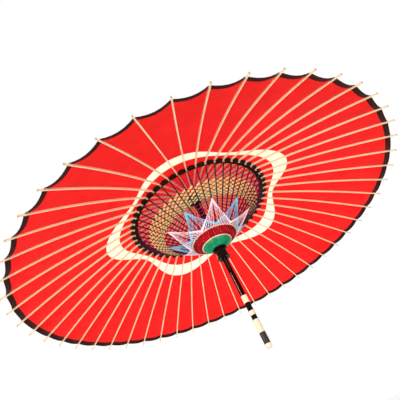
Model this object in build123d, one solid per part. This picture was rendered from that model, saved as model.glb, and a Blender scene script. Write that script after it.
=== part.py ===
from build123d import *
import math
import os

# Open oil-paper umbrella. Millimetres, +Z up, origin at the centre of the pole's foot.
# Ribs hinge in a slotted head, stretchers hinge under the ribs and end in the slots of a sliding
# runner. Everything radial is drawn once in the XZ plane (X outwards) and turned round the pole.

# --- spokes -------------------------------------------------------------------
SPOKES = 50                       # ribs, and as many stretchers
PITCH = 360.0 / SPOKES
BLADE = 1.1                       # thickness of the thinned ends that sit in slots
SLOT = 1.4                        # width of the slots that take them

# --- pivots in the open umbrella ----------------------------------------------
HEAD_R, HEAD_Z = 19.0, 500.0      # rib pivot in the head
ELBOW_R, ELBOW_Z = 215.0, 436.0   # stretcher pivot under the rib
COLLAR_R, COLLAR_Z = 19.0, 300.0  # stretcher pivot in the runner
PEG = 0.55                        # radius of the peg at each elbow
PEG_HOLE = 0.62

# --- rib ----------------------------------------------------------------------
CREST_HEAD_Z = 503.0              # upper edge of the rib above its pivot
CREST_ELBOW_Z = 443.8             # upper edge above the elbow
RIM_R, RIM_Z = 550.0, 297.0       # where the paper ends on the rib
TIP_R = 563.0
RIB_W = 3.2
RIB_UNDER_ELBOW = 438.6           # lower edge above the elbow
RIB_TIP_DEPTH = 3.8
RIB_THIN_TO, RIB_FULL_FROM = 29.0, 129.0
TIP_HOLE = 0.9

# --- stretcher ----------------------------------------------------------------
STR_W, STR_DEPTH = 2.6, 3.0
STR_EYE = 1.9                     # radius of its rounded ends
STR_THIN_TO, STR_FULL_FROM = 20.0, 60.0

# --- pole ---------------------------------------------------------------------
POLE_R = 7.4
POLE_TOP = 552.0
WRAP_R, WRAP_PITCH, WRAP_GROOVE = 8.1, 2.4, 0.3
RATTAN = [(121.0, 142.0), (85.6, 97.8), (38.6, 73.4), (1.0, 9.8)]
GRIP = (9.8, 38.6)
GLUE = 0.02                       # gap left between glued pieces

# --- head, cap ----------------------------------------------------------------
HUB_R, HUB_BOTTOM, HUB_TOP = 24.0, 489.0, 510.0
HUB_SLOT_TOP = 504.3
SLOT_FLOOR_R = 14.7
CORD, CORD_CHANNEL = 0.53, 0.60
HOOD_TOP, HOOD_HEM_R, HOOD_HEM_Z = 543.0, 30.4, 502.4
NECK_R, TIE_Z, TIE = 9.5, 533.0, 0.7   # waist of the hood, and the cord round it

# --- runner -------------------------------------------------------------------
RUNNER_BORE, BORE_BEVEL = 8.7, 1.2
FLANGE_R, FLANGE_UP, FLANGE_DOWN = 21.2, 5.0, 6.0
BELL_R, WAIST_R, LIP_R = 16.3, 16.0, 18.2
RUNNER_FOOT, LIP_H = 264.0, 5.0

# --- catch --------------------------------------------------------------------
CATCH_TURN = 28.5 * PITCH
CATCH_PIVOT_R, CATCH_PIVOT_Z = 3.5, 227.0
CATCH_TOP_R, CATCH_TOP_Z = 11.8, 263.5   # corner that stands under the runner's foot
CATCH_TAIL = 2.0                  # how far it reaches below its pin
CATCH_W, CATCH_SLOT_W = 1.6, 2.0
CATCH_PIN, CATCH_PIN_HOLE, CATCH_PIN_L = 0.80, 0.87, 12.4
POCKET_FLOOR, POCKET_LOW, POCKET_HIGH = 0.9, 223.5, 265.5

# --- paper --------------------------------------------------------------------
PAPER = 0.4
PAPER_LIFT = 0.06                 # glue line between rib and paper
PAPER_TOP_R = 27.0
SCALLOP = 3.5                     # how far the edge dips between two ribs
STRIP_IN, STRIP_OUT = 208.0, 222.0

# --- lacing -------------------------------------------------------------------
THREAD = 0.8
THREAD_GAP = 0.05
LACE_BANDS = [(22.0, 42.5), (43.0, 45.2), (45.7, 66.5), (67.0, 69.5)]   # wound solid
LACE_ROWS = (75.0, 205.0, 20)                                            # single threads


def circle_through(p, q, r):
    """Centre and radius of the circle through three points of the XZ plane."""
    (x1, y1), (x2, y2), (x3, y3) = p, q, r
    d = 2 * (x1 * (y2 - y3) + x2 * (y3 - y1) + x3 * (y1 - y2))
    s1, s2, s3 = x1 * x1 + y1 * y1, x2 * x2 + y2 * y2, x3 * x3 + y3 * y3
    cx = (s1 * (y2 - y3) + s2 * (y3 - y1) + s3 * (y1 - y2)) / d
    cy = (s1 * (x3 - x2) + s2 * (x1 - x3) + s3 * (x2 - x1)) / d
    return cx, cy, math.hypot(x1 - cx, y1 - cy)


CREST = circle_through((HEAD_R, CREST_HEAD_Z), (ELBOW_R, CREST_ELBOW_Z), (RIM_R, RIM_Z))


def crest(r):
    """Height of the ribs' upper edge at radius r."""
    cx, cz, rad = CREST
    return cz + math.sqrt(rad * rad - (r - cx) ** 2)


def crest_arc(r0, r1, lift=0.0):
    mid = (r0 + r1) / 2
    return ThreePointArc((r0, crest(r0) + lift), (mid, crest(mid) + lift), (r1, crest(r1) + lift))


def outline(*edges):
    """Face in the XZ plane from edges given in order as (x, z)."""
    return Plane.XZ * make_face(Wire(list(edges)).edges())


def slab(face, width):
    return extrude(face, width / 2, both=True)


def across(x, z, radius, length):
    """Round bar lying across the spoke, centred on its plane."""
    return Pos(x, 0, z) * Rot(90, 0, 0) * Cylinder(radius, length)


def plan_taper(points, low, high):
    """Prism, symmetric about the spoke, whose half width is given at each radius."""
    left = [(x, w) for x, w in points]
    right = [(x, -w) for x, w in reversed(points)]
    face = make_face(Polyline(*left, *right, close=True))
    return Pos(0, 0, low) * extrude(face, high - low)


def ring(profile):
    """Solid of revolution round the pole from a closed list of (r, z) corners."""
    return revolve(Plane.XZ * make_face(Polyline(*profile, close=True)), Axis.Z)


def spokes(piece, first=0, step=1):
    return [Rot(0, 0, k * PITCH) * piece for k in range(first, SPOKES, step)]


def rib():
    """Split-bamboo rib: thinned round end in the head, cheeks for the stretcher, drilled tip."""
    under = [(HEAD_R + 1, HEAD_Z - 2.6), (ELBOW_R, RIB_UNDER_ELBOW), (TIP_R, crest(TIP_R) - RIB_TIP_DEPTH)]
    upper = crest_arc(HEAD_R + 1, TIP_R)
    nose = Line((TIP_R, crest(TIP_R)), under[2])
    lower = ThreePointArc(*under)
    butt = Line(under[0], (HEAD_R + 1, crest(HEAD_R + 1)))
    body = slab(outline(upper, nose, lower, butt), RIB_W)
    body += across(HEAD_R, HEAD_Z, 2.9, RIB_W)
    lug = across(ELBOW_R, ELBOW_Z, 2.4, RIB_W)
    lug += Pos(ELBOW_R, 0, ELBOW_Z + 2) * Box(4.2, RIB_W, 4)
    body += lug
    thin, full = BLADE / 2, RIB_W / 2
    body &= plan_taper([(HEAD_R - 5, thin), (RIB_THIN_TO, thin), (RIB_FULL_FROM, full),
                        (TIP_R - 3, full), (TIP_R + 1, full - 0.9)], 200, 520)
    body -= across(HEAD_R, HEAD_Z, CORD_CHANNEL, 10)
    body -= across(ELBOW_R, ELBOW_Z, 2.5, BLADE + 0.2)
    body -= across(TIP_R - 5, crest(TIP_R - 5) - RIB_TIP_DEPTH / 2, TIP_HOLE, 10)
    body += across(ELBOW_R, ELBOW_Z, PEG, RIB_W)
    return body


def stretcher():
    """Lacquered strut with an eye at each end, thinned where it enters rib and runner."""
    run, rise = ELBOW_R - COLLAR_R, ELBOW_Z - COLLAR_Z
    length = math.hypot(run, rise)
    bar = Pos(length / 2, 0, 0) * Box(length, STR_W, STR_DEPTH)
    bar += across(0, 0, STR_EYE, STR_W) + across(length, 0, STR_EYE, STR_W)
    thin, full = BLADE / 2, STR_W / 2
    bar &= plan_taper([(-4, thin), (STR_THIN_TO, thin), (STR_FULL_FROM, full), (length - 9, full),
                       (length - 5, thin), (length + 4, thin)], -5, 5)
    bar -= across(0, 0, PEG_HOLE, 10)
    bar -= across(length, 0, PEG_HOLE, 10)
    return Pos(COLLAR_R, 0, COLLAR_Z) * Rot(0, -math.degrees(math.atan2(rise, run)), 0) * bar


def slotted(body, low, high, outer):
    """Cut one radial slot for every spoke."""
    cut = Pos((SLOT_FLOOR_R + outer) / 2, 0, (low + high) / 2) * Box(outer - SLOT_FLOOR_R, SLOT, high - low)
    return body - spokes(cut)


def upper_hub():
    """Turned head with a slot for each rib, and the cord that all the ribs are threaded on."""
    bore = POLE_R + GLUE
    body = ring([(bore, HUB_BOTTOM - 6), (12.5, HUB_BOTTOM - 6), (SLOT_FLOOR_R + 1.5, HUB_BOTTOM),
                 (HUB_R - 1.5, HUB_BOTTOM), (HUB_R, HUB_BOTTOM + 1.5), (HUB_R, HUB_TOP - 2),
                 (HUB_R - 4, HUB_TOP), (bore, HUB_TOP)])
    body -= Pos(0, 0, HEAD_Z) * Torus(HEAD_R, CORD_CHANNEL)
    body = slotted(body, HUB_BOTTOM - 8, HUB_SLOT_TOP, HUB_R + 4)
    return [body, Pos(0, 0, HEAD_Z) * Torus(HEAD_R, CORD)]


def head_cap():
    """Waxed hood over the head, drawn in round the pole and tied."""
    bore = POLE_R + GLUE
    inside = [(bore, HOOD_TOP), (bore, TIE_Z - 5), (13.5, TIE_Z - 7.5), (25.2, TIE_Z - 20),
              (HOOD_HEM_R - 1.2, HOOD_HEM_Z)]
    outside = [(HOOD_HEM_R, HOOD_HEM_Z), (26.4, TIE_Z - 19.2), (14.8, TIE_Z - 6.2), (NECK_R + 1, TIE_Z - 3),
               (NECK_R, TIE_Z), (NECK_R + 1, TIE_Z + 3), (NECK_R + 1.6, HOOD_TOP)]
    return [ring(inside + outside), Pos(0, 0, TIE_Z) * Torus(NECK_R + TIE + 0.05, TIE)]


def pole():
    """Lacquered bamboo pole with a round top, drilled and slotted for the catch."""
    body = Cylinder(POLE_R, POLE_TOP, align=(Align.CENTER, Align.CENTER, Align.MIN))
    body = fillet(body.edges().group_by(Axis.Z)[-1], 4.0)
    body = chamfer(body.edges().group_by(Axis.Z)[0], 0.6)
    deep, tall = POLE_R + 4 - POCKET_FLOOR, POCKET_HIGH - POCKET_LOW
    slot = Pos(POCKET_FLOOR + deep / 2, 0, POCKET_LOW + tall / 2) * Box(deep, CATCH_SLOT_W, tall)
    hole = across(CATCH_PIVOT_R, CATCH_PIVOT_Z, CATCH_PIN_HOLE, 30)
    return body - Rot(0, 0, CATCH_TURN) * (slot + hole)


def spring_catch():
    """Springy tongue that stands out of the pole under the runner's lip, on a cross pin."""
    tail = CATCH_PIVOT_Z - CATCH_TAIL
    side = make_face(Polyline((CATCH_PIVOT_R - 1, tail), (CATCH_PIVOT_R + 1, tail),
                              (CATCH_TOP_R, CATCH_TOP_Z - 1.5), (CATCH_TOP_R, CATCH_TOP_Z),
                              (CATCH_TOP_R - 2.3, CATCH_TOP_Z), close=True))
    tongue = slab(Plane.XZ * side, CATCH_W)
    pin = across(CATCH_PIVOT_R, CATCH_PIVOT_Z, CATCH_PIN, CATCH_PIN_L)
    return Rot(0, 0, CATCH_TURN) * (tongue + pin)


def handle_wraps():
    """Rattan windings on the handle and the smooth lacquered grip between them."""
    bore = POLE_R + GLUE
    bands = []
    for low, high in RATTAN:
        turns = round((high - low) / WRAP_PITCH)
        pitch = (high - low) / turns
        edges = [Line((bore, high), (bore, low)), Line((bore, low), (WRAP_R - WRAP_GROOVE, low))]
        for n in range(turns):
            z = low + n * pitch
            edges.append(ThreePointArc((WRAP_R - WRAP_GROOVE, z), (WRAP_R, z + pitch / 2),
                                       (WRAP_R - WRAP_GROOVE, z + pitch)))
        edges.append(Line((WRAP_R - WRAP_GROOVE, high), (bore, high)))
        bands.append(revolve(outline(*edges), Axis.Z))
    low, high = GRIP[0] + GLUE, GRIP[1] - GLUE
    return bands + [ring([(bore, low), (WRAP_R, low), (WRAP_R, high), (bore, high)])]


def runner():
    """Spool-shaped slider: slotted flange for the stretchers, a waist, and a flared lip."""
    top, shoulder, lip = COLLAR_Z + FLANGE_UP, COLLAR_Z - FLANGE_DOWN, RUNNER_FOOT + LIP_H
    body = ring([(RUNNER_BORE, RUNNER_FOOT + BORE_BEVEL), (RUNNER_BORE + BORE_BEVEL, RUNNER_FOOT),
                 (LIP_R - 0.8, RUNNER_FOOT), (LIP_R, RUNNER_FOOT + 0.8), (LIP_R, lip),
                 (WAIST_R, lip + 6), (WAIST_R + 0.7, shoulder - 5), (BELL_R, shoulder),
                 (FLANGE_R - 1, shoulder), (FLANGE_R, shoulder + 1), (FLANGE_R, top - 1.2),
                 (FLANGE_R - 1.2, top), (RUNNER_BORE, top)])
    return slotted(body, shoulder - 0.5, top + 1, FLANGE_R + 4)


def canopy():
    """Paper cone with a scalloped edge, and the short paper strips that tie the ribs at the elbows."""
    def end(r):
        under = crest(r) + PAPER_LIFT
        return Line((r, under), (r, under + PAPER))
    face = outline(crest_arc(PAPER_TOP_R, RIM_R, PAPER_LIFT), end(RIM_R),
                   crest_arc(PAPER_TOP_R, RIM_R, PAPER_LIFT + PAPER), end(PAPER_TOP_R))
    sheet = revolve(face, Axis.Z)
    half = RIM_R * math.sin(math.radians(PITCH / 2))
    bite = (half * half + SCALLOP * SCALLOP) / (2 * SCALLOP)
    away = RIM_R * math.cos(math.radians(PITCH / 2)) + bite - SCALLOP
    cutter = Rot(0, 0, PITCH / 2) * Pos(away, 0, RIM_Z) * Cylinder(bite, 60)
    sheet -= spokes(cutter)

    def reach(r):
        return r * math.tan(math.radians(PITCH / 2)) - RIB_W / 2 - 0.1
    plate = make_face(Polyline((STRIP_IN, -reach(STRIP_IN)), (STRIP_OUT, -reach(STRIP_OUT)),
                               (STRIP_OUT, reach(STRIP_OUT)), (STRIP_IN, reach(STRIP_IN)), close=True))
    tilt = math.degrees(math.atan2(crest(STRIP_IN) - crest(STRIP_OUT), STRIP_OUT - STRIP_IN))
    place = Pos(ELBOW_R, 0, RIB_UNDER_ELBOW + 1) * Rot(0, tilt, 0) * Pos(-ELBOW_R, 0, 0)
    strip = place * extrude(plate, PAPER)
    return [sheet] + [Rot(0, 0, PITCH / 2) * s for s in spokes(strip)]


def lace_ring(r0, r1):
    """Ring of thread lying against the undersides of the stretchers from radius r0 to r1."""
    run, rise = ELBOW_R - COLLAR_R, ELBOW_Z - COLLAR_Z
    stretch = math.hypot(run, rise) / run
    top = [(r, COLLAR_Z + (r - COLLAR_R) * rise / run - (STR_DEPTH / 2 + THREAD_GAP) * stretch)
           for r in (r0, r1)]
    return ring(top + [(r, z - THREAD * stretch) for r, z in reversed(top)])


def thread_lacing():
    """Thread wound solid near the runner, then single threads out to the elbows."""
    first, last, count = LACE_ROWS
    gap = (last - first) / (count - 1)
    singles = [(first + n * gap, first + n * gap + THREAD) for n in range(count)]
    return [lace_ring(r0, r1) for r0, r1 in LACE_BANDS + singles]


def save(node, shape, color):
    solids = shape if isinstance(shape, list) else [shape]
    part = solids[0] if len(solids) == 1 else Compound(children=[Part(s.wrapped) for s in solids])
    part.label = node
    part.color = Color(*color)
    export_step(part, os.path.join("parts", node + ".step"))


def build():
    os.makedirs("parts", exist_ok=True)
    bamboo, lacquer = (0.93, 0.78, 0.58), (0.05, 0.03, 0.03)
    save("shaft", pole(), lacquer)
    save("upper_hub", upper_hub(), lacquer)
    save("head_cap", head_cap(), lacquer)
    save("handle_wraps", handle_wraps(), bamboo)
    save("runner", runner(), lacquer)
    save("spring_catch", spring_catch(), (0.20, 0.16, 0.12))
    save("canopy", canopy(), (0.85, 0.08, 0.06))
    save("thread_lacing", thread_lacing(), (0.65, 0.05, 0.3))
    one_rib, one_stretcher = rib(), stretcher()
    for n, k in enumerate(range(0, SPOKES, 2), start=1):
        save("rib_%02d" % n, Rot(0, 0, k * PITCH) * one_rib, bamboo)
        save("stretcher_%02d" % n, Rot(0, 0, k * PITCH) * one_stretcher, lacquer)
    save("ribs_between", spokes(one_rib, 1, 2), bamboo)
    save("stretchers_between", spokes(one_stretcher, 1, 2), lacquer)


build()
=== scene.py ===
import math

import bpy
from mathutils import Matrix, Vector


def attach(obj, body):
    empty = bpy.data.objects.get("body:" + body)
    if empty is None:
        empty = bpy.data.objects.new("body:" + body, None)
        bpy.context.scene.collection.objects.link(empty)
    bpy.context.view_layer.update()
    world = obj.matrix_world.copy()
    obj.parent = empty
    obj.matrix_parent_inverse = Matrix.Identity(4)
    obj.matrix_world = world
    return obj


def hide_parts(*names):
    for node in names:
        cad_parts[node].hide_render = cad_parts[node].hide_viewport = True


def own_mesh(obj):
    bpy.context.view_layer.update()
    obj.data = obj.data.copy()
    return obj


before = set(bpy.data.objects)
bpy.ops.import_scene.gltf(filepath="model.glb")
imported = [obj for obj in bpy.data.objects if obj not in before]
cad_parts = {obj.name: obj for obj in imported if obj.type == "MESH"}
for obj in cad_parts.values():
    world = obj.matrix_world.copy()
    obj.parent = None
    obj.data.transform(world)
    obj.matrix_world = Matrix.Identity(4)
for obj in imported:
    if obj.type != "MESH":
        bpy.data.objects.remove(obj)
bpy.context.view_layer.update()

scene = bpy.context.scene
MM = 0.001

# ------------------------------------------------------------------ sizes of the umbrella, in mm
SPOKES = 50
PITCH = 360.0 / SPOKES
ELBOW_R, ELBOW_Z = 215.0, 436.0
COLLAR_R, COLLAR_Z = 19.0, 300.0
RIM_R, TIP_R = 550.0, 563.0
CREST_AT = ((19.0, 503.0), (215.0, 443.8), (550.0, 297.0))   # upper edge of a rib: radius, height
CREST_END = 575.0                  # radius past which the upper edge isn't followed
SLOPE = math.atan2(ELBOW_Z - COLLAR_Z, ELBOW_R - COLLAR_R)   # of the stretchers

# paper
PAPER_TOP_R = 27.0                 # the paper's upper end, under the hood
PAPER_LIFT = 0.3                   # paper above the rib's upper edge
SCALLOP = 3.5                      # how far the edge is drawn back at a rib
EDGE_BAND = 10.5                   # width of the dark edge
EDGE_CORD_R = 0.9
SAG = 7.5                          # how far the paper hangs between two ribs at the edge
GLUED = 2.2                        # half width of paper that lies flat on a rib
LOBES = 5                          # of the white band
WAIST_AT = 21.6                    # azimuth of one waist of the white band
BAND_OUT, BAND_OUT_SWING = 276.5, 28.5     # its outer edge: middle radius, and swing to each side
BAND_IN, BAND_IN_SWING = 248.5, 13.5       # its inner edge

# ties at the elbows: inner radius, outer radius, gap beside a rib, depth below the rib's upper edge
INNER_TIE = (202.0, 213.0, 0.0, 6.4)
OUTER_TIE = (213.0, 226.0, 2.0, 5.2)
TIE_THICK = 4.0

# pole and handle
GRIP = (9.81, 38.59)               # smooth dark part of the handle, from and to this height
BARE_FOOT = 1.2                    # height of the pole's end that is left without lacquer
HIGHLIGHT_STREAK = (143.0, 214.0)            # heights between which a thin highlight is painted along one side of the pole's lacquer
HIGHLIGHT_STREAK_WIDTH = 1.2

# lacing: radii along the stretchers from the runner outwards
GREEN_ZONE = (20.5, 42.0)
INNER_CREAM = (43.2, 45.0)
CRIMSON_ZONE = (46.2, 66.6)
CRIMSON_STITCHES = ((46.8, 50.5, 0.9), (58.5, 67.0, 1.15))   # from, to, half width
OUTER_CREAM = (68.0, 69.8)
WOUND = (72.0, 203.0)
ROSE_ZONE = (73.0, 138.0)
YELLOW_ZONE = (138.0, 150.0)
GOLD_ZONE = (150.0, 177.0)
MAGENTA_ZONE = (178.0, 204.0)
STAR_TIP, STAR_FOOT = 136.5, 70.0
STAR_REACH = 5                     # spokes from a star's tip to the foot of its sides
BLUE_STAR_SPOKE, PINK_STAR_SPOKE = 6, 1

# share of a piece's spread that is left when its joint is fully folded
PAPER_KEEP, TIES_KEEP, LACE_KEEP = 0.09, 0.16, 0.17

# stage, in metres and degrees
FLOOR_Z, FLOOR_REACH = -320.0, 60000.0     # in mm
CAMERA_AT = (-0.8479, -0.3870, -0.1936)
CAMERA_AZIMUTH, CAMERA_ELEVATION, CAMERA_ROLL = 23.223, 35.933, -27.738
CAMERA_LENS, CAMERA_SENSOR, CAMERA_SHIFT = 32.43, 36.0, -0.0057
SOFTBOXES = (                      # name, place, aim, size, watts
    ("top_softbox", (0.4, 0.2, 2.6), (0, 0, 0.4), 2.2, 60),
    ("key_softbox", (-1.9, 0.6, 0.1), (0, 0, 0.35), 0.7, 14),
    ("front_softbox", (-1.25, -0.75, -0.25), (0, 0, 0.4), 0.5, 11),
)
SKY_LIGHT = 0.68


def circle_through(p, q, r):
    """Centre and radius of the circle through three points."""
    (x1, y1), (x2, y2), (x3, y3) = p, q, r
    d = 2 * (x1 * (y2 - y3) + x2 * (y3 - y1) + x3 * (y1 - y2))
    s1, s2, s3 = x1 * x1 + y1 * y1, x2 * x2 + y2 * y2, x3 * x3 + y3 * y3
    cx = (s1 * (y2 - y3) + s2 * (y3 - y1) + s3 * (y1 - y2)) / d
    cy = (s1 * (x3 - x2) + s2 * (x1 - x3) + s3 * (x2 - x1)) / d
    return cx, cy, math.hypot(x1 - cx, y1 - cy)


CREST = circle_through(*CREST_AT)


def crest(r):
    """Height of the ribs' upper edge at a radius."""
    return CREST[1] + math.sqrt(CREST[2] ** 2 - (r - CREST[0]) ** 2)


def polar(r, azimuth, z):
    a = math.radians(azimuth)
    return (r * math.cos(a), r * math.sin(a), z)


# ------------------------------------------------------------------ materials
class Nodes:
    """Small helper that builds a material's node tree."""

    def __init__(self, name):
        self.mat = bpy.data.materials.new(name)
        self.mat.use_nodes = True
        self.tree = self.mat.node_tree
        self.tree.nodes.clear()
        self.out = self.add("ShaderNodeOutputMaterial")

    def add(self, kind):
        return self.tree.nodes.new(kind)

    def link(self, a, b):
        self.tree.links.new(a, b)

    def coords(self, scale=(1, 1, 1)):
        tex = self.add("ShaderNodeTexCoord")
        mapping = self.add("ShaderNodeMapping")
        mapping.inputs["Scale"].default_value = scale
        self.link(tex.outputs["Object"], mapping.inputs["Vector"])
        return mapping.outputs["Vector"]

    def noise(self, vector, scale, detail=4.0, rough=0.6):
        node = self.add("ShaderNodeTexNoise")
        node.inputs["Scale"].default_value = scale
        node.inputs["Detail"].default_value = detail
        node.inputs["Roughness"].default_value = rough
        self.link(vector, node.inputs["Vector"])
        return node.outputs["Fac"]

    def ramp(self, fac, low, high, at=(0.3, 0.7)):
        node = self.add("ShaderNodeValToRGB")
        node.color_ramp.elements[0].position, node.color_ramp.elements[1].position = at
        node.color_ramp.elements[0].color = (*low, 1)
        node.color_ramp.elements[1].color = (*high, 1)
        self.link(fac, node.inputs["Fac"])
        return node.outputs["Color"]

    def mix(self, fac, a, b):
        node = self.add("ShaderNodeMix")
        node.data_type = "RGBA"
        for value, socket in ((fac, 0), (a, 6), (b, 7)):
            if hasattr(value, "is_output"):
                self.link(value, node.inputs[socket])
            else:
                node.inputs[socket].default_value = value if socket == 0 else (*value, 1)
        return node.outputs[2]

    def math(self, op, a, b=0.0):
        node = self.add("ShaderNodeMath")
        node.operation = op
        for value, socket in ((a, 0), (b, 1)):
            if hasattr(value, "is_output"):
                self.link(value, node.inputs[socket])
            else:
                node.inputs[socket].default_value = value
        return node.outputs[0]

    def bump(self, height, strength, distance=0.0003):
        node = self.add("ShaderNodeBump")
        node.inputs["Strength"].default_value = strength
        node.inputs["Distance"].default_value = distance
        self.link(height, node.inputs["Height"])
        return node.outputs["Normal"]

    def both(self, *masks):
        """Product of masks: 1 only where all of them are 1."""
        result = masks[0]
        for mask in masks[1:]:
            result = self.math("MULTIPLY", result, mask)
        return result

    def surface(self, color, rough, normal=None, **more):
        node = self.add("ShaderNodeBsdfPrincipled")
        for value, key in ((color, "Base Color"), (rough, "Roughness"), (normal, "Normal")):
            if value is None:
                continue
            if hasattr(value, "is_output"):
                self.link(value, node.inputs[key])
            else:
                node.inputs[key].default_value = (*value, 1) if key == "Base Color" else value
        for key, value in more.items():
            node.inputs[key.replace("_", " ")].default_value = value
        return node.outputs[0]

    def finish(self, shader):
        self.link(shader, self.out.inputs["Surface"])
        return self.mat


def paper(name, dark, light, through, rough=0.5, gloss=0.2):
    """Oiled paper: long fibres, cloudy thickness, a waxy sheen, and light coming through."""
    n = Nodes(name)
    at = n.coords()
    cloud = n.noise(at, 18, 5)
    fibre = n.noise(n.coords((1, 1, 0.4)), 420, 6, 0.7)
    uneven = n.math("ADD", n.math("MULTIPLY", cloud, 0.6), n.math("MULTIPLY", fibre, 0.4))
    color = n.ramp(uneven, dark, light)
    normal = n.bump(n.math("ADD", fibre, n.math("MULTIPLY", n.noise(at, 70, 3), 0.8)), 0.25)
    front = n.surface(color, n.math("ADD", n.math("MULTIPLY", cloud, 0.25), rough - 0.12), normal,
                      Specular_IOR_Level=gloss)
    back = n.add("ShaderNodeBsdfTranslucent")
    n.link(color, back.inputs["Color"])
    n.link(normal, back.inputs["Normal"])
    blend = n.add("ShaderNodeMixShader")
    blend.inputs[0].default_value = through
    n.link(front, blend.inputs[1])
    n.link(back.outputs[0], blend.inputs[2])
    return n.finish(blend.outputs[0])


def bamboo():
    """Split bamboo: streaks along the rib, small dark flecks, darker sides and dipped tips; the darker sides
    are partly the bamboo's browner cut faces and partly painted shade standing in for the shadow line along
    each rib.
    """
    n = Nodes("bamboo")
    tex = n.add("ShaderNodeTexCoord")
    parts = n.add("ShaderNodeSeparateXYZ")
    n.link(tex.outputs["Object"], parts.inputs[0])
    x, y, z = parts.outputs
    radius = n.math("POWER", n.math("ADD", n.math("MULTIPLY", x, x), n.math("MULTIPLY", y, y)), 0.5)
    turn = n.math("ARCTAN2", y, x)
    along = n.add("ShaderNodeCombineXYZ")
    n.link(n.math("MULTIPLY", radius, 6.0), along.inputs[0])
    n.link(n.math("MULTIPLY", turn, 60.0), along.inputs[1])
    n.link(n.math("MULTIPLY", z, 60.0), along.inputs[2])
    streak = n.noise(along.outputs[0], 9, 5, 0.7)
    tone = n.noise(along.outputs[0], 1.3, 2)
    color = n.ramp(streak, (0.84, 0.55, 0.28), (0.99, 0.78, 0.50), (0.25, 0.6))
    color = n.mix(n.math("MULTIPLY", tone, 0.5), color, (1.0, 0.81, 0.55))
    fleck = n.noise(along.outputs[0], 40, 2)
    color = n.mix(n.math("MULTIPLY", n.math("GREATER_THAN", fleck, 0.68), 0.5), color, (0.45, 0.22, 0.08))
    # painted shade: faces that point sideways are darkened, partly the bamboo's own browner cut faces and
    # partly the shadow line along each rib
    facing = n.add("ShaderNodeSeparateXYZ")
    n.link(tex.outputs["Normal"], facing.inputs[0])
    side_tone_and_shade = n.math("LESS_THAN", n.math("ABSOLUTE", facing.outputs[2]), 0.45)
    color = n.mix(n.math("MULTIPLY", side_tone_and_shade, 0.27), color, (0.40, 0.16, 0.06))
    ragged = n.math("ADD", radius, n.math("MULTIPLY", streak, 0.002))
    dipped = n.math("GREATER_THAN", ragged, TIP_R * MM - 0.0012)
    color = n.mix(n.math("MULTIPLY", dipped, 0.6), color, (0.16, 0.13, 0.08))
    return n.finish(n.surface(color, n.math("ADD", n.math("MULTIPLY", streak, 0.3), 0.28),
                              n.bump(streak, 0.35), Specular_IOR_Level=0.4))


def lacquer(name, base, tint, rough=0.12, gloss=0.3, pole=False):
    """Dark lacquer over wood: faint grain below, orange peel and small wear above.

    The pole also has a bare foot, and a painted highlight below the catch: a thin bright line on one side
    that stands in for a reflection in the lacquer.
    """
    n = Nodes(name)
    grain = n.noise(n.coords((60, 60, 4)), 8, 5)
    wear = n.noise(n.coords(), 90, 5, 0.7)
    color = n.mix(n.math("MULTIPLY", grain, 0.5), base, tint)
    if pole:
        parts = n.add("ShaderNodeSeparateXYZ")
        n.link(n.coords(), parts.inputs[0])
        x, y, z = parts.outputs
        # painted highlight: a thin bright line on the pole's lacquer, standing in for a reflection of light
        streak_highlight = n.both(n.math("LESS_THAN", n.math("ABSOLUTE", y), HIGHLIGHT_STREAK_WIDTH / 2 * MM),
                        n.math("LESS_THAN", x, 0.0),
                        n.math("GREATER_THAN", z, HIGHLIGHT_STREAK[0] * MM),
                        n.math("LESS_THAN", z, HIGHLIGHT_STREAK[1] * MM),
                        n.math("GREATER_THAN", wear, 0.44))
        color = n.mix(n.math("MULTIPLY", streak_highlight, 0.7), color, (0.80, 0.62, 0.48))
        color = n.mix(n.math("LESS_THAN", z, BARE_FOOT * MM), color, (0.86, 0.78, 0.52))
    shine = n.math("ADD", n.math("MULTIPLY", wear, 0.22), rough - 0.04)
    return n.finish(n.surface(color, shine, n.bump(n.noise(n.coords(), 260, 2), 0.06),
                              Specular_IOR_Level=gloss))


def rattan():
    """Pale rattan winding, with the lacquered grip between two of the windings."""
    n = Nodes("rattan")
    tex = n.add("ShaderNodeTexCoord")
    parts = n.add("ShaderNodeSeparateXYZ")
    n.link(tex.outputs["Object"], parts.inputs[0])
    z = parts.outputs[2]
    grip = n.both(n.math("GREATER_THAN", z, GRIP[0] * MM), n.math("LESS_THAN", z, GRIP[1] * MM))
    strand = n.noise(n.coords((40, 40, 900)), 2.0, 4)
    tone = n.noise(n.coords((10, 10, 120)), 3.0, 3)
    cane = n.ramp(strand, (0.74, 0.66, 0.38), (0.95, 0.95, 0.70), (0.3, 0.62))
    cane = n.mix(n.math("MULTIPLY", tone, 0.4), cane, (0.90, 0.82, 0.58))
    dark = n.ramp(n.noise(n.coords((90, 90, 14)), 6, 4), (0.010, 0.005, 0.004), (0.038, 0.024, 0.019))
    color = n.mix(grip, cane, dark)
    return n.finish(n.surface(color, n.math("ADD", n.math("MULTIPLY", strand, 0.2), 0.28),
                              n.bump(strand, 0.4), Specular_IOR_Level=0.45))


def thread(name, dark, light):
    """Twisted silk thread: two plies, a soft sheen and uneven dye."""
    n = Nodes(name)
    ply = n.noise(n.coords(), 2600, 2)
    dye = n.noise(n.coords(), 45, 3)
    color = n.ramp(n.math("ADD", n.math("MULTIPLY", ply, 0.5), n.math("MULTIPLY", dye, 0.5)), dark, light)
    return n.finish(n.surface(color, 0.6, n.bump(ply, 0.5, 0.0002), Specular_IOR_Level=0.12))


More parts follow.
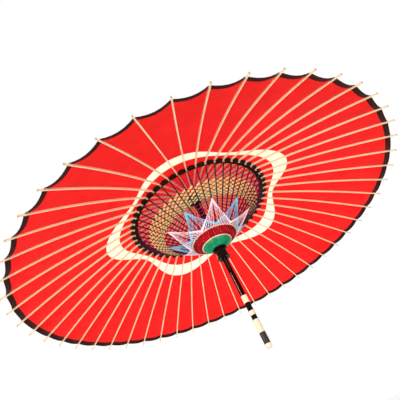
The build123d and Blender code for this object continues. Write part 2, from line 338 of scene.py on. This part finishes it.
def cloth(name, dark, light):
    """Waxed cloth: a fine weave and soft folds that run down from the tie, with painted shade in the colour:
    darker where the weave and folds are low.
    """
    n = Nodes(name)
    weave = n.noise(n.coords(), 900, 3)
    fold = n.noise(n.coords((40, 40, 8)), 3, 3)
    # painted shade: the colour follows the same weave and folds as the bump, darker where they are low
    color = n.ramp(n.math("ADD", n.math("MULTIPLY", weave, 0.5), n.math("MULTIPLY", fold, 0.5)), dark, light)
    return n.finish(n.surface(color, 0.7, n.bump(n.math("ADD", weave, fold), 0.5, 0.0006), Sheen_Weight=0.3))


def brass():
    """Dull dark brass, rubbed a little brighter along its length."""
    n = Nodes("catch_metal")
    rub = n.noise(n.coords((200, 200, 20)), 5, 4)
    color = n.ramp(rub, (0.02, 0.013, 0.009), (0.11, 0.075, 0.05))
    return n.finish(n.surface(color, n.math("ADD", n.math("MULTIPLY", rub, 0.3), 0.2), n.bump(rub, 0.1),
                              Metallic=1.0))


RED = paper("red_paper", (0.70, 0.008, 0.008), (0.90, 0.019, 0.016), 0.5, 0.48, 0.12)
WHITE = paper("white_paper", (0.92, 0.90, 0.66), (0.98, 0.97, 0.76), 0.5)
EDGE = paper("dark_edge_paper", (0.016, 0.003, 0.003), (0.055, 0.012, 0.009), 0.10, 0.55, 0.08)
TIE = paper("black_tie_paper", (0.006, 0.003, 0.002), (0.025, 0.012, 0.008), 0.06, 0.55, 0.08)
BAMBOO = bamboo()
RATTAN = rattan()
POLE = lacquer("pole_lacquer", (0.003, 0.001, 0.001), (0.013, 0.004, 0.003), 0.10, 0.15, True)
HUB = lacquer("hub_lacquer", (0.004, 0.002, 0.002), (0.014, 0.007, 0.006), 0.20, 0.14)
STRUT = lacquer("stretcher_lacquer", (0.012, 0.003, 0.006), (0.040, 0.010, 0.018), 0.28, 0.2)
HOOD = cloth("hood_cloth", (0.012, 0.010, 0.010), (0.05, 0.04, 0.035))
BRASS = brass()
THREADS = [
    thread("green_thread", (0.000, 0.20, 0.09), (0.03, 0.78, 0.36)),
    thread("cream_thread", (0.80, 0.60, 0.30), (1.0, 0.90, 0.60)),
    thread("crimson_thread", (0.36, 0.000, 0.010), (0.78, 0.004, 0.028)),
    thread("pink_thread", (1.0, 0.74, 0.88), (1.0, 0.97, 1.0)),
    thread("blue_thread", (0.04, 0.42, 0.78), (0.34, 0.85, 1.0)),
    thread("magenta_thread", (0.14, 0.003, 0.055), (0.40, 0.012, 0.17)),
    thread("gold_thread", (0.95, 0.60, 0.16), (1.0, 0.92, 0.46)),
    thread("purple_thread", (0.020, 0.002, 0.016), (0.075, 0.006, 0.050)),
    thread("yellow_thread", (0.66, 0.62, 0.16), (0.96, 0.94, 0.46)),
    thread("rose_thread", (0.80, 0.12, 0.16), (1.0, 0.50, 0.48)),
    thread("black_thread", (0.004, 0.002, 0.002), (0.018, 0.008, 0.010)),
]
(GREEN_T, CREAM_T, CRIMSON_T, PINK_T, BLUE_T, MAGENTA_T, GOLD_T, PURPLE_T, YELLOW_T,
 ROSE_T, BLACK_T) = range(len(THREADS))


# ------------------------------------------------------------------ mesh helpers
def mesh_object(name, points, faces, materials, indices=None, smooth=True):
    """Object from points in mm."""
    mesh = bpy.data.meshes.new(name)
    mesh.from_pydata([(x * MM, y * MM, z * MM) for x, y, z in points], [], faces)
    for m in materials:
        mesh.materials.append(m)
    if indices:
        mesh.polygons.foreach_set("material_index", indices)
    mesh.polygons.foreach_set("use_smooth", [smooth] * len(mesh.polygons))
    mesh.validate()
    mesh.update()
    obj = bpy.data.objects.new(name, mesh)
    scene.collection.objects.link(obj)
    return obj


class Tubes:
    """Collects short straight threads into one mesh."""

    def __init__(self):
        self.points, self.faces, self.colors = [], [], []

    def add(self, start, end, radius, color, sides=4):
        a, b = Vector(start), Vector(end)
        axis = (b - a).normalized()
        side = axis.cross(Vector((0, 0, 1)))
        side = side.normalized() if side.length > 1e-4 else Vector((1, 0, 0))
        up = side.cross(axis)
        base = len(self.points)
        for end_point in (a - axis * radius * 0.5, b + axis * radius * 0.5):
            for s in range(sides):
                t = 2 * math.pi * s / sides
                self.points.append(end_point + (side * math.cos(t) + up * math.sin(t)) * radius)
        for s in range(sides):
            t = (s + 1) % sides
            self.faces.append((base + s, base + t, base + sides + t, base + sides + s))
            self.colors.append(color)

    def object(self, name):
        return mesh_object(name, [tuple(p) for p in self.points], self.faces, THREADS, self.colors)


# ------------------------------------------------------------------ canopy
def wave(azimuth):
    """Swing of the white band: -1 at its waists and 1 at its lobes."""
    return -math.cos(math.radians(LOBES * (azimuth - WAIST_AT)))


def sector(azimuth):
    """Share of the way from a rib (0) to the middle between two ribs (1), and the angle off the middle."""
    off = azimuth % PITCH - PITCH / 2
    return 1 - abs(off) / (PITCH / 2), off


def edge_radius(azimuth):
    """Radius of the paper's edge: a straight line between ribs, drawn back at each rib."""
    share, off = sector(azimuth)
    chord = RIM_R * math.cos(math.radians(PITCH / 2)) / math.cos(math.radians(off))
    return chord - SCALLOP * (1 - (1 - share) ** 2)


def sheet_point(r, azimuth):
    """Point of the paper: flat on the ribs, and hanging a little in the gap between two."""
    share, off = sector(azimuth)
    on_rib = r * math.cos(math.radians(off)) / math.cos(math.radians(PITCH / 2))
    glued = GLUED / (r * math.sin(math.radians(PITCH / 2)))
    hung = max(0.0, share - glued) / (1 - glued)
    sag = SAG * (1 - (1 - hung) ** 2) * (r / RIM_R) ** 4
    return polar(r, azimuth, crest(min(on_rib, CREST_END)) + PAPER_LIFT - sag)


def fold_columns(azimuth):
    """Azimuths of one fold's columns, closer together beside the ribs."""
    steps = (0.0, 0.035, 0.15, 0.32, 0.5, 0.68, 0.85, 0.965)
    return [azimuth + PITCH * (gap + step) for gap in (-1, 0) for step in steps] + [azimuth + PITCH]


def petal(azimuth, name):
    """One fold of the paper, from the rib before to the rib after, with its band and edge."""
    columns = fold_columns(azimuth)
    points, faces, colors = [], [], []
    zones = ((14, 0), (4, 1), (15, 0), (2, 2))     # rows of faces, and their material
    for a in columns:
        edge = edge_radius(a)
        stops = (PAPER_TOP_R, BAND_IN + BAND_IN_SWING * wave(a), BAND_OUT + BAND_OUT_SWING * wave(a),
                 edge - EDGE_BAND, edge)
        radii = [stops[0]]
        for (count, _), low, high in zip(zones, stops, stops[1:]):
            radii += [low + (high - low) * (i + 1) / count for i in range(count)]
        points += [sheet_point(r, a) for r in radii]
    height = len(radii)
    paint = [color for count, color in zones for _ in range(count)]
    for c in range(len(columns) - 1):
        for r in range(height - 1):
            i = c * height + r
            faces.append((i, i + 1, i + height + 1, i + height))
            colors.append(paint[r])
    return mesh_object(name, points, faces, [RED, WHITE, EDGE], colors)


def edge_cord(azimuth, name):
    """Cord rolled into the paper's dark edge."""
    points, faces = [], []
    sides = 6
    columns = fold_columns(azimuth)
    for a in columns:
        r = edge_radius(a)
        for s in range(sides):
            t = 2 * math.pi * s / sides
            x, y, z = sheet_point(r + EDGE_CORD_R * math.cos(t), a)
            points.append((x, y, z + EDGE_CORD_R * math.sin(t) - 0.2))
    for c in range(len(columns) - 1):
        for s in range(sides):
            t = (s + 1) % sides
            faces.append((c * sides + s, (c + 1) * sides + s, (c + 1) * sides + t, c * sides + t))
    return mesh_object(name, points, faces, [EDGE])


def elbow_ties(azimuth, name):
    """Black paper ties between the ribs at the elbows, one on each side of this rib."""
    points, faces = [], []
    steps = 6
    for start in (azimuth - PITCH, azimuth):
        for inner, outer, gap, drop in (INNER_TIE, OUTER_TIE):
            base = len(points)
            for c in range(steps + 1):
                share = c / steps
                bow = math.sin(math.pi * share)
                reach = bow if gap else 1.0
                width = outer - inner
                for r in (inner, inner + width * reach / 2, inner + width * max(0.4, reach)):
                    off = math.degrees(gap / r)
                    a = start + off + (PITCH - 2 * off) * share
                    x, y, z = polar(r, a, crest(r) - drop - 1.2 * bow)
                    points.append((x, y, z))
                    points.append((x, y, z + TIE_THICK))
            for c in range(steps):
                i = base + c * 6
                j = i + 6
                for k in (0, 2):
                    faces.append((i + k, j + k, j + k + 2, i + k + 2))
                    faces.append((i + k + 1, i + k + 3, j + k + 3, j + k + 1))
                faces.append((i, i + 1, j + 1, j))
                faces.append((i + 4, j + 4, j + 5, i + 5))
    return mesh_object(name, points, faces, [TIE], smooth=False)


# ------------------------------------------------------------------ spokes in between
def turned_copy(source, turn, name, material):
    """Copy of a CAD spoke, turned round the pole."""
    mesh = source.data.copy()
    mesh.name = name
    mesh.transform(Matrix.Rotation(math.radians(turn), 4, "Z"))
    mesh.materials.clear()
    mesh.materials.append(material)
    obj = bpy.data.objects.new(name, mesh)
    scene.collection.objects.link(obj)
    return obj


# ------------------------------------------------------------------ lacing
def lace_point(spoke, r, below):
    """Point on a stretcher's line, moved square to it; below is towards the handle."""
    z = COLLAR_Z + (r - COLLAR_R) * math.tan(SLOPE)
    return polar(r + below * math.sin(SLOPE), spoke * PITCH, z - below * math.cos(SLOPE))


def unrolled(r, steps):
    """Point of the stretchers' cone rolled out flat: steps is the number of spokes off."""
    a = math.radians(steps * PITCH) * math.cos(SLOPE)
    s = r / math.cos(SLOPE)
    return s * math.cos(a), s * math.sin(a)


def taut(r0, r1, count):
    """Radii at which a thread pulled tight over count gaps crosses each spoke."""
    x0, y0 = unrolled(r0, 0)
    x1, y1 = unrolled(r1, count)
    radii = []
    for i in range(count + 1):
        a = math.radians(i * PITCH) * math.cos(SLOPE)
        nx, ny = -math.sin(a), math.cos(a)
        d0, d1 = x0 * nx + y0 * ny, x1 * nx + y1 * ny
        t = 0.0 if abs(d0 - d1) < 1e-9 else d0 / (d0 - d1)
        x, y = x0 + (x1 - x0) * t, y0 + (y1 - y0) * t
        radii.append(math.hypot(x, y) * math.cos(SLOPE))
    return radii


lace = {n: Tubes() for n in range(0, SPOKES, 2)}


def tubes_near(spoke):
    """Collection that a spoke's threads go to: that of the even spoke at it or after it."""
    return lace[(spoke + spoke % 2) % SPOKES]


def strand(spoke, r0, r1, below0, below1, radius, color):
    """One thread across the gap between spoke and the next."""
    tubes_near(spoke).add(lace_point(spoke, r0, below0), lace_point(spoke + 1, r1, below1), radius, color)


def rows(zone, pitch, radius, color, below):
    """Threads carried round side by side."""
    start, stop = zone
    count = max(1, round((stop - start) / pitch))
    for n in range(count + 1):
        r = start + (stop - start) * n / count
        for spoke in range(SPOKES):
            strand(spoke, r, r, below, below, radius, color)


def weave(zone, pitch, slant, radius, bundle, colors, back):
    """Bands of threads that cross in every gap and pass round the stretchers."""
    start, stop = zone
    count = round((stop - start) / pitch)
    for n in range(count):
        r = start + (stop - start) * n / count
        for spoke in range(SPOKES):
            for m in range(bundle):
                off = 1.9 * radius * m
                strand(spoke, r + off, r + slant + off, 0.4, -0.2, radius, colors[(n + m) % len(colors)])
            strand(spoke, r + slant, r, 0.9, 0.3, radius * 1.2, back)


def along_stretchers(low, high, radius, color, below, sides):
    """Straight piece on every stretcher between two radii: a winding, or a short stitch."""
    for spoke in range(SPOKES):
        start, end = lace_point(spoke, low, below), lace_point(spoke, high, below)
        tubes_near(spoke).add(start, end, radius, color, sides)


def star(first_spoke, color, below, radius):
    """Points of a star: threads fanned from each tip down to the ring at its foot."""
    for tip in range(first_spoke, first_spoke + SPOKES, SPOKES // LOBES):
        for way in (-1, 1):
            for foot in range(1, STAR_REACH + 1):
                for strand_no in range(7 if foot == STAR_REACH else 2):
                    radii = taut(STAR_TIP - 1.5 * strand_no, STAR_FOOT + 1.1 * strand_no, foot)
                    for i in range(foot):
                        a, b = tip + way * i, tip + way * (i + 1)
                        ra, rb = radii[i], radii[i + 1]
                        if way < 0:
                            a, b, ra, rb = b, a, rb, ra
                        strand(a, ra, rb, below, below, radius, color)


def build_lacing():
    """All zones, from the runner outwards, then the two stars in front of them."""
    rows(GREEN_ZONE, 1.05, 0.52, GREEN_T, 1.9)
    rows(INNER_CREAM, 0.90, 0.60, CREAM_T, 2.0)
    rows(CRIMSON_ZONE, 1.05, 0.55, CRIMSON_T, 1.9)
    for low, high, radius in CRIMSON_STITCHES:
        along_stretchers(low, high, radius, BLACK_T, 2.2, 4)
    rows(OUTER_CREAM, 0.90, 0.60, CREAM_T, 2.0)
    along_stretchers(*WOUND, 1.75, PURPLE_T, 0.1, 6)
    weave(ROSE_ZONE, 8.0, 2.5, 0.44, 1, (ROSE_T, MAGENTA_T), MAGENTA_T)
    weave(YELLOW_ZONE, 6.0, 6.0, 0.70, 3, (YELLOW_T,), PURPLE_T)
    weave(GOLD_ZONE, 9.0, 9.5, 0.88, 3, (GOLD_T,), BLACK_T)
    weave(MAGENTA_ZONE, 6.5, 5.0, 0.38, 1, (MAGENTA_T,), MAGENTA_T)
    star(BLUE_STAR_SPOKE, BLUE_T, 2.6, 0.66)
    star(PINK_STAR_SPOKE, PINK_T, 3.4, 0.66)


# ------------------------------------------------------------------ put the object together
def dress():
    """Give every CAD node that stays visible its material."""
    finish_of = {"shaft": POLE, "upper_hub": HUB, "head_cap": HOOD, "handle_wraps": RATTAN, "runner": HUB,
                 "spring_catch": BRASS}
    for name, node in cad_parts.items():
        if name.startswith("rib_"):
            material = BAMBOO
        elif name.startswith("stretcher_"):
            material = STRUT
        else:
            material = finish_of.get(name)
        if material is not None:
            node.data.materials.clear()
            node.data.materials.append(material)


def hang(piece, body, node):
    """Let a piece ride on a body, and stand in for part of a CAD node, which is hidden."""
    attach(piece, body)
    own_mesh(piece)
    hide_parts(node)


def build_object():
    """Every pair of spokes: its paper, edge, ties and lacing, and the rib and stretcher in between."""
    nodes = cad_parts
    dress()
    build_lacing()
    for n in range(SPOKES // 2):
        azimuth = 2 * n * PITCH
        tag = "%02d" % (n + 1)
        rib, strut = "rib_" + tag, "stretcher_" + tag
        for maker, name, keep in ((petal, "paper_", PAPER_KEEP), (edge_cord, "edge_cord_", PAPER_KEEP),
                                  (elbow_ties, "elbow_ties_", TIES_KEEP)):
            hang(maker(azimuth, name + tag), rib,
                 "canopy")

        hang(turned_copy(nodes["rib_01"], azimuth + PITCH, "rib_between_" + tag, BAMBOO), rib,
             "ribs_between")
        hang(turned_copy(nodes["stretcher_01"], azimuth + PITCH, "stretcher_between_" + tag, STRUT), strut,
             "stretchers_between")
        hang(lace[2 * n].object("lacing_" + tag), strut,
             "thread_lacing")


# ------------------------------------------------------------------ stage
def build_floor():
    """Pale floor, kept pale in the distance by a faint glow that only the camera sees."""
    n = Nodes("floor_paint")
    color = n.ramp(n.noise(n.coords(), 3, 3), (0.90, 0.90, 0.89), (0.94, 0.94, 0.93))
    lit = n.add("ShaderNodeEmission")
    n.link(color, lit.inputs["Color"])
    path = n.add("ShaderNodeLightPath")
    n.link(n.math("MULTIPLY", path.outputs["Is Camera Ray"], 0.36), lit.inputs["Strength"])
    glowing = n.add("ShaderNodeAddShader")
    n.link(n.surface(color, 0.6), glowing.inputs[0])
    n.link(lit.outputs[0], glowing.inputs[1])
    material = n.finish(glowing.outputs[0])
    sides = 96
    rim = [polar(FLOOR_REACH, 360 * i / sides, FLOOR_Z) for i in range(sides)]
    floor = mesh_object("floor", rim, [tuple(range(sides))], [material])


def area_light(name, location, target, size, power):
    data = bpy.data.lights.new(name, "AREA")
    data.size, data.energy = size, power
    lamp = bpy.data.objects.new(name, data)
    scene.collection.objects.link(lamp)
    lamp.location = location
    lamp.rotation_euler = (Vector(target) - Vector(location)).to_track_quat("-Z", "Y").to_euler()


def build_light():
    """White surroundings, dimmer as light than as seen, and three softboxes."""
    world = bpy.data.worlds.new("studio")
    world.use_nodes = True
    tree = world.node_tree
    tree.nodes.clear()
    out = tree.nodes.new("ShaderNodeOutputWorld")
    seen = tree.nodes.new("ShaderNodeBackground")
    lit = tree.nodes.new("ShaderNodeBackground")
    seen.inputs[0].default_value, seen.inputs[1].default_value = (1, 1, 1, 1), 1.0
    lit.inputs[0].default_value, lit.inputs[1].default_value = (1, 1, 1, 1), SKY_LIGHT
    path = tree.nodes.new("ShaderNodeLightPath")
    mix = tree.nodes.new("ShaderNodeMixShader")
    tree.links.new(path.outputs["Is Camera Ray"], mix.inputs[0])
    tree.links.new(lit.outputs[0], mix.inputs[1])
    tree.links.new(seen.outputs[0], mix.inputs[2])
    tree.links.new(mix.outputs[0], out.inputs[0])
    scene.world = world
    for softbox in SOFTBOXES:
        area_light(*softbox)
    scene.view_settings.view_transform = "Standard"
    scene.view_settings.look = "None"


def build_camera():
    """Camera below the edge, looking up under the umbrella and rolled to one side."""
    azimuth, elevation = math.radians(CAMERA_AZIMUTH), math.radians(CAMERA_ELEVATION)
    roll = math.radians(CAMERA_ROLL)
    ahead = Vector((math.cos(elevation) * math.cos(azimuth), math.cos(elevation) * math.sin(azimuth),
                    math.sin(elevation)))
    level = ahead.cross(Vector((0, 0, 1))).normalized()
    upright = level.cross(ahead)
    right = level * math.cos(roll) + upright * math.sin(roll)
    up = right.cross(ahead)
    data = bpy.data.cameras.new("camera")
    data.sensor_width, data.lens = CAMERA_SENSOR, CAMERA_LENS
    data.shift_x = CAMERA_SHIFT
    data.clip_start, data.clip_end = 0.01, 200
    cam = bpy.data.objects.new("camera", data)
    scene.collection.objects.link(cam)
    turn = Matrix((right, up, -ahead)).transposed().to_4x4()
    cam.matrix_world = Matrix.Translation(CAMERA_AT) @ turn
    scene.camera = cam


build_object()
build_floor()
build_light()
build_camera()
